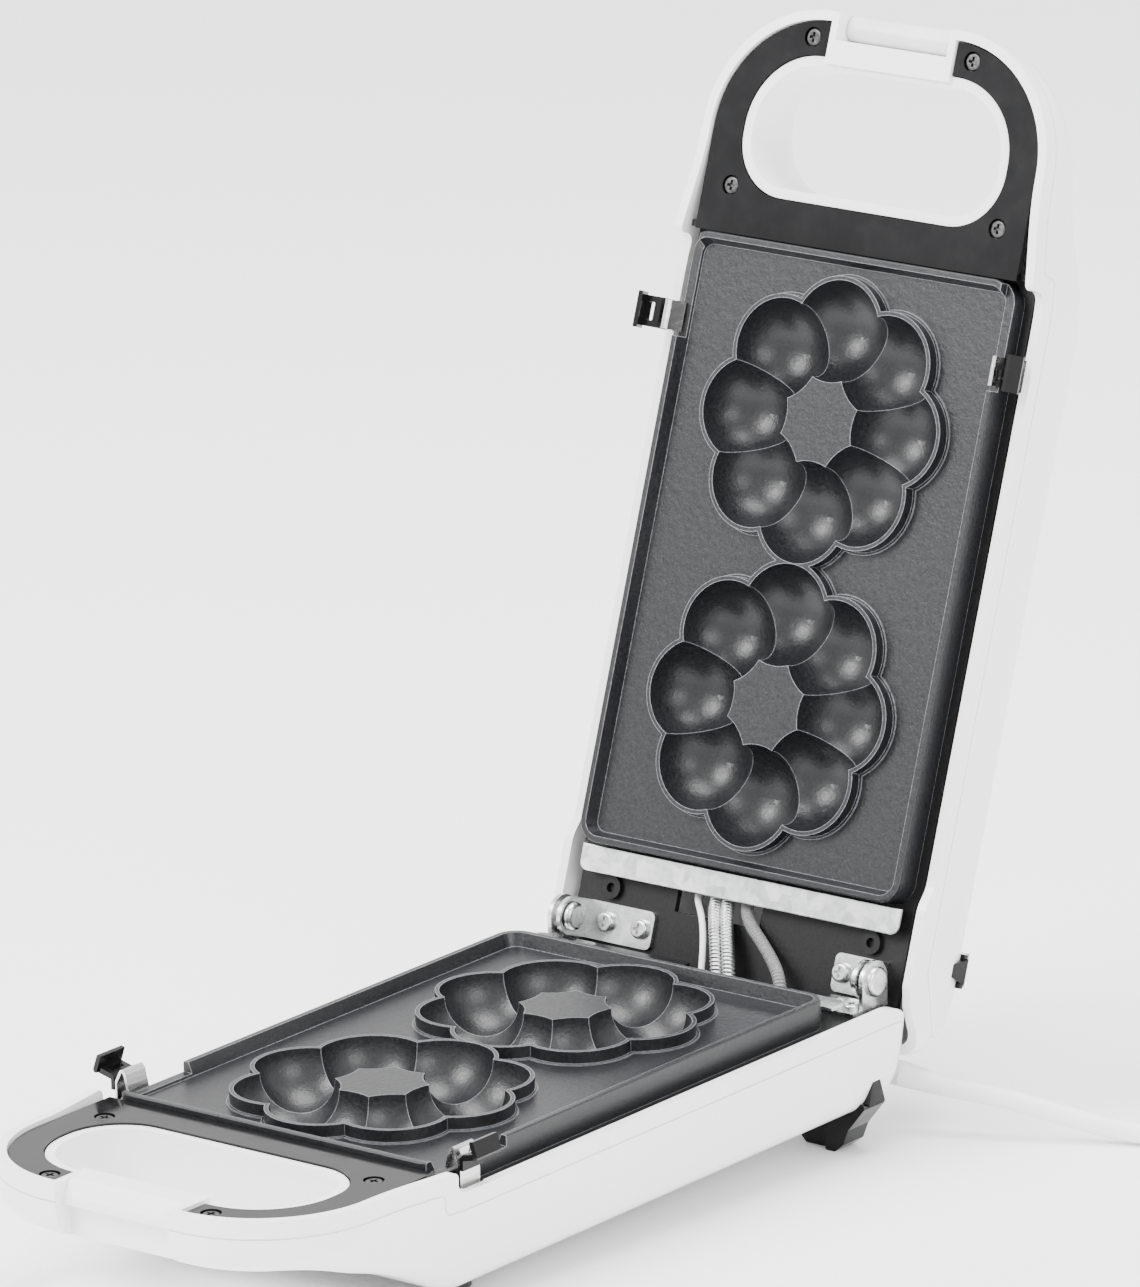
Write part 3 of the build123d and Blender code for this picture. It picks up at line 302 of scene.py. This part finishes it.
def spring_steel():
    f = Finish("spring_steel", (0.66, 0.66, 0.65), 0.16, 1.0)
    lines = f.noise(900, 3, 0.6, (1, 0.06, 1))
    f.colours(lines, (0.3, (0.56, 0.56, 0.55)), (0.75, (0.74, 0.74, 0.73)))
    f.rough(f.between(lines, 0.3, 0.7, 0.12, 0.3))
    f.bump(lines, 0.15, 0.00004)
    return f


def grey_clasp():
    f = Finish("grey_clasp", (0.7, 0.72, 0.71), 0.3)
    f.colours(f.noise(50, 3), (0.3, (0.62, 0.64, 0.63)), (0.7, (0.74, 0.76, 0.75)))
    f.rough(f.between(f.noise(300, 3), 0.3, 0.7, 0.24, 0.4))
    f.set("Subsurface Weight", 0.3)
    f.set("Subsurface Radius", (0.004, 0.004, 0.004))
    f.bump(f.noise(1500, 2), 0.12, 0.00005)
    return f


def rubber():
    f = Finish("rubber_feet", (0.02, 0.02, 0.02), 0.65)
    grain = f.noise(1500, 4)
    f.colours(grain, (0.3, (0.014, 0.014, 0.014)), (0.7, (0.032, 0.032, 0.032)))
    f.rough(f.between(grain, 0.3, 0.7, 0.55, 0.75))
    f.bump(grain, 0.35, 0.0001)
    return f


def lens(name, colour):
    f = Finish(name, colour, 0.08)
    f.set("Transmission Weight", 0.45)
    f.colours(f.noise(600, 2), (0.3, tuple(0.8 * c for c in colour)), (0.7, colour))
    f.rough(f.between(f.noise(500, 2), 0.3, 0.7, 0.05, 0.14))
    f.bump(f.cells(900), 0.3, 0.0001)
    return f


def heater_sheath():
    f = Finish("heater_sheath", (0.26, 0.24, 0.22), 0.4, 0.9)
    tint = f.noise(90, 4)
    f.colours(tint, (0.3, (0.16, 0.15, 0.16)), (0.55, (0.30, 0.27, 0.24)), (0.75, (0.36, 0.34, 0.33)))
    f.rough(f.between(tint, 0.3, 0.7, 0.32, 0.52))
    f.bump(f.noise(1200, 3), 0.2, 0.00006)
    return f


def white_plastic():
    f = Finish("white_plastic", (0.82, 0.82, 0.8), 0.4)
    grain = f.noise(1200, 3)
    f.colours(grain, (0.3, (0.79, 0.79, 0.77)), (0.7, (0.85, 0.85, 0.83)))
    f.rough(f.between(grain, 0.3, 0.7, 0.34, 0.48))
    f.bump(grain, 0.15, 0.00006)
    return f


def grey_sleeve():
    f = Finish("grey_sleeve", (0.16, 0.16, 0.165), 0.7)
    grain = f.noise(1700, 4)
    f.colours(grain, (0.3, (0.10, 0.10, 0.105)), (0.7, (0.26, 0.26, 0.265)))
    f.rough(f.between(grain, 0.3, 0.7, 0.6, 0.8))
    f.bump(grain, 0.4, 0.0001)
    return f


def white_cord():
    f = Finish("white_cord", (0.84, 0.84, 0.83), 0.38)
    f.colours(f.noise(40, 3), (0.3, (0.80, 0.80, 0.79)), (0.7, (0.87, 0.87, 0.86)))
    f.rough(f.between(f.noise(400, 3), 0.3, 0.7, 0.3, 0.46))
    f.bump(f.noise(1300, 3), 0.2, 0.00006)
    return f


finishes = {
    "white_housing": white_gloss(),
    "nonstick_plate": nonstick(),
    "black_trim": black_gloss(),
    "black_frame": black_satin(),
    "dark_screw": dark_screw(),
    "bright_steel": bright_steel(),
    "galvanised_steel": galvanised(),
    "spring_steel": spring_steel(),
    "grey_clasp": grey_clasp(),
    "rubber_feet": rubber(),
    "red_lens": lens("red_lens", (0.6, 0.03, 0.02)),
    "green_lens": lens("green_lens", (0.03, 0.45, 0.08)),
    "heater_sheath": heater_sheath(),
    "white_plastic": white_plastic(),
    "grey_sleeve": grey_sleeve(),
    "white_cord": white_cord(),
}


def paint(piece, slot):
    """The finish of a material slot on a piece, whatever it came with."""
    piece.data.materials.clear()
    piece.data.materials.append(finishes[slot].material)


ALL_SLOTS = {
    "white_housing": ("base_housing", "lid_housing"),
    "nonstick_plate": ("lower_plate", "upper_plate"),
    "black_trim": ("base_trim", "lid_trim", "base_clip_cap_left", "base_clip_cap_right",
                   "lid_clip_cap_left", "lid_clip_cap_right", "rear_foot_left",
                   "rear_foot_right", "lid_hook_left", "lid_hook_right"),
    "black_frame": ("base_frame", "lid_frame"),
    "dark_screw": ("base_trim_screws", "lid_trim_screws"),
    "galvanised_steel": ("base_strip", "lid_strip", "lower_reflector", "upper_reflector",
                         "lower_heater_saddles", "upper_heater_saddles", "lower_thermostat",
                         "upper_thermostat", "hinge_sleeves"),
    "spring_steel": ("base_clip_left", "base_clip_right", "lid_clip_left", "lid_clip_right",
                     "base_clip_pins", "lid_clip_pins", "thermal_fuse"),
    "grey_clasp": ("latch_clasp",),
    "rubber_feet": ("front_feet",),
    "red_lens": ("power_lamp",),
    "green_lens": ("ready_lamp",),
    "heater_sheath": ("lower_heater", "upper_heater"),
    "white_plastic": ("terminal_block",),
    "grey_sleeve": ("lead_sleeve",),
    "white_cord": ("earth_wire", "cord_gland", "mains_plug"),
}
slot_of = {name: slot for slot, names in ALL_SLOTS.items() for name in names}
for name, node in nodes.items():
    paint(node, slot_of.get(name, "bright_steel"))
paint(mains_cord, "white_cord")

# ---- conduits between the two halves ------------------------------------------------
LEAN = radians(1.7)
PIVOT_Y, FOOT_Z = -11.8, -53.5
ORIGIN_Y = 85.9


def on_table(point):
    """A point of the closed machine's own axes, in the frame's millimetres."""
    x, y, z = point
    dy, dz = y - PIVOT_Y, z - FOOT_Z
    return (x, PIVOT_Y + cos(LEAN) * dy - sin(LEAN) * dz + ORIGIN_Y, sin(LEAN) * dy + cos(LEAN) * dz)


CONDUIT_STEPS = 60             # samples along each stretch of a route
CONDUIT_SIDES = 20
RINGS_PER_RIB = 10


def rib_wave(turn):
    """Height of a conduit's rounded rib at a turn of its winding, from 0 to 1."""
    return (0.5 + 0.5 * cos(2 * pi * turn)) ** 0.7


def conduit(name, route, radius, rib_depth, rib_pitch, slot):
    """A ribbed tube along a smooth route, wound as one helix; sizes in millimetres.
    """
    guide = nurbs(name + "_line", [on_table(point) for point in route])
    guide.data.resolution_u = CONDUIT_STEPS
    path = centreline(guide)
    bpy.data.objects.remove(guide)
    around = CONDUIT_SIDES
    vertices, faces = [], []
    side = Vector((1, 0, 0))
    travelled = 0.0
    rings = []
    spacing = rib_pitch * MM / RINGS_PER_RIB
    for k, at in enumerate(path):
        if k:
            travelled += (at - path[k - 1]).length
        rings.append((travelled, at))
    total = rings[-1][0]
    count = int(total / spacing)
    j = 0
    for i in range(count + 1):
        s = total * i / count
        while j < len(rings) - 2 and rings[j + 1][0] < s:
            j += 1
        (s0, p0), (s1, p1) = rings[j], rings[j + 1]
        t = (s - s0) / max(s1 - s0, 1e-9)
        middle = p0.lerp(p1, t)
        heading = (p1 - p0).normalized()
        side = (side - heading * side.dot(heading)).normalized()
        up = heading.cross(side)
        for m in range(around):
            a = 2 * pi * m / around
            turn = s / (rib_pitch * MM) + m / around
            r = (radius - rib_depth * (1 - rib_wave(turn))) * MM
            vertices.append(middle + side * (r * cos(a)) + up * (r * sin(a)))
        if i:
            low, high = (i - 1) * around, i * around
            faces += [(low + m, low + (m + 1) % around, high + (m + 1) % around, high + m)
                      for m in range(around)]
    mesh = bpy.data.meshes.new(name)
    mesh.from_pydata(vertices, [], faces)
    mesh.shade_smooth()
    piece = bpy.data.objects.new(name, mesh)
    scene.collection.objects.link(piece)
    paint(piece, slot)
    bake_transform(piece)
    return piece


SLEEVE = [(3, -0.5, -16), (2.5, 0, -10), (-2.5, 6, 0), (-9, 14.5, 7), (-12, 22, 9.5)]
EARTH = [(-6, -1, -16), (-6, 1, -9), (-11, 8.5, 2), (-19, 15, 8.5), (-20.5, 22, 10)]
LEAD = [(25, -1, -16), (24.5, 0, -9), (16, 6.3, -3.5), (0, 12.6, 6.5), (-1.5, 21, 10)]
SLEEVE_SHIFT = 2.2            # each metal conduit's distance from the middle of the pair
steel_left = conduit("hinge_conduit_left", [(x - SLEEVE_SHIFT, y, z) for x, y, z in SLEEVE],
                     2.1, 0.38, 1.15, "galvanised_steel")
steel_right = conduit("hinge_conduit_right", [(x + SLEEVE_SHIFT, y, z) for x, y, z in SLEEVE],
                      2.1, 0.38, 1.15, "galvanised_steel")
earth = conduit("hinge_earth_wire", EARTH, 1.0, 0.03, 3.0, "white_cord")
lead = conduit("hinge_lead_sleeve", LEAD, 2.0, 0.28, 1.0, "grey_sleeve")
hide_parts("hinge_sleeves")
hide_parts("earth_wire")
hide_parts("lead_sleeve")

# ---- table and light ----------------------------------------------------------------
bpy.ops.mesh.primitive_plane_add(size=12, location=(0, 0, 0))
floor = bpy.context.object
floor.name = "floor"
pale = Finish("pale_table", (0.93, 0.93, 0.93), 0.6)
pale.colours(pale.noise(2, 2), (0.3, (0.925, 0.925, 0.925)), (0.7, (0.935, 0.935, 0.935)))
floor.data.materials.append(pale.material)

world = bpy.data.worlds.new("studio")
scene.world = world
world.use_nodes = True
world.node_tree.nodes["Background"].inputs["Color"].default_value = (1, 1, 1, 1)
world.node_tree.nodes["Background"].inputs["Strength"].default_value = 2.0


def softbox(name, at, target, width, height, power):
    data = bpy.data.lights.new(name, "AREA")
    data.shape = "RECTANGLE"
    data.size, data.size_y = width, height
    data.energy = power
    made = bpy.data.objects.new(name, data)
    scene.collection.objects.link(made)
    made.location = at
    made.rotation_mode = "QUATERNION"
    made.rotation_quaternion = (Vector(at) - Vector(target)).to_track_quat("Z", "Y")


MIDDLE = (0, 0, 0.12)
softbox("key", (-0.9, -1.5, 1.7), MIDDLE, 1.1, 1.1, 85)
softbox("fill", (1.9, -0.5, 1.1), MIDDLE, 1.2, 0.9, 26)
softbox("top", (0.1, 0.3, 2.2), MIDDLE, 1.5, 1.3, 80)
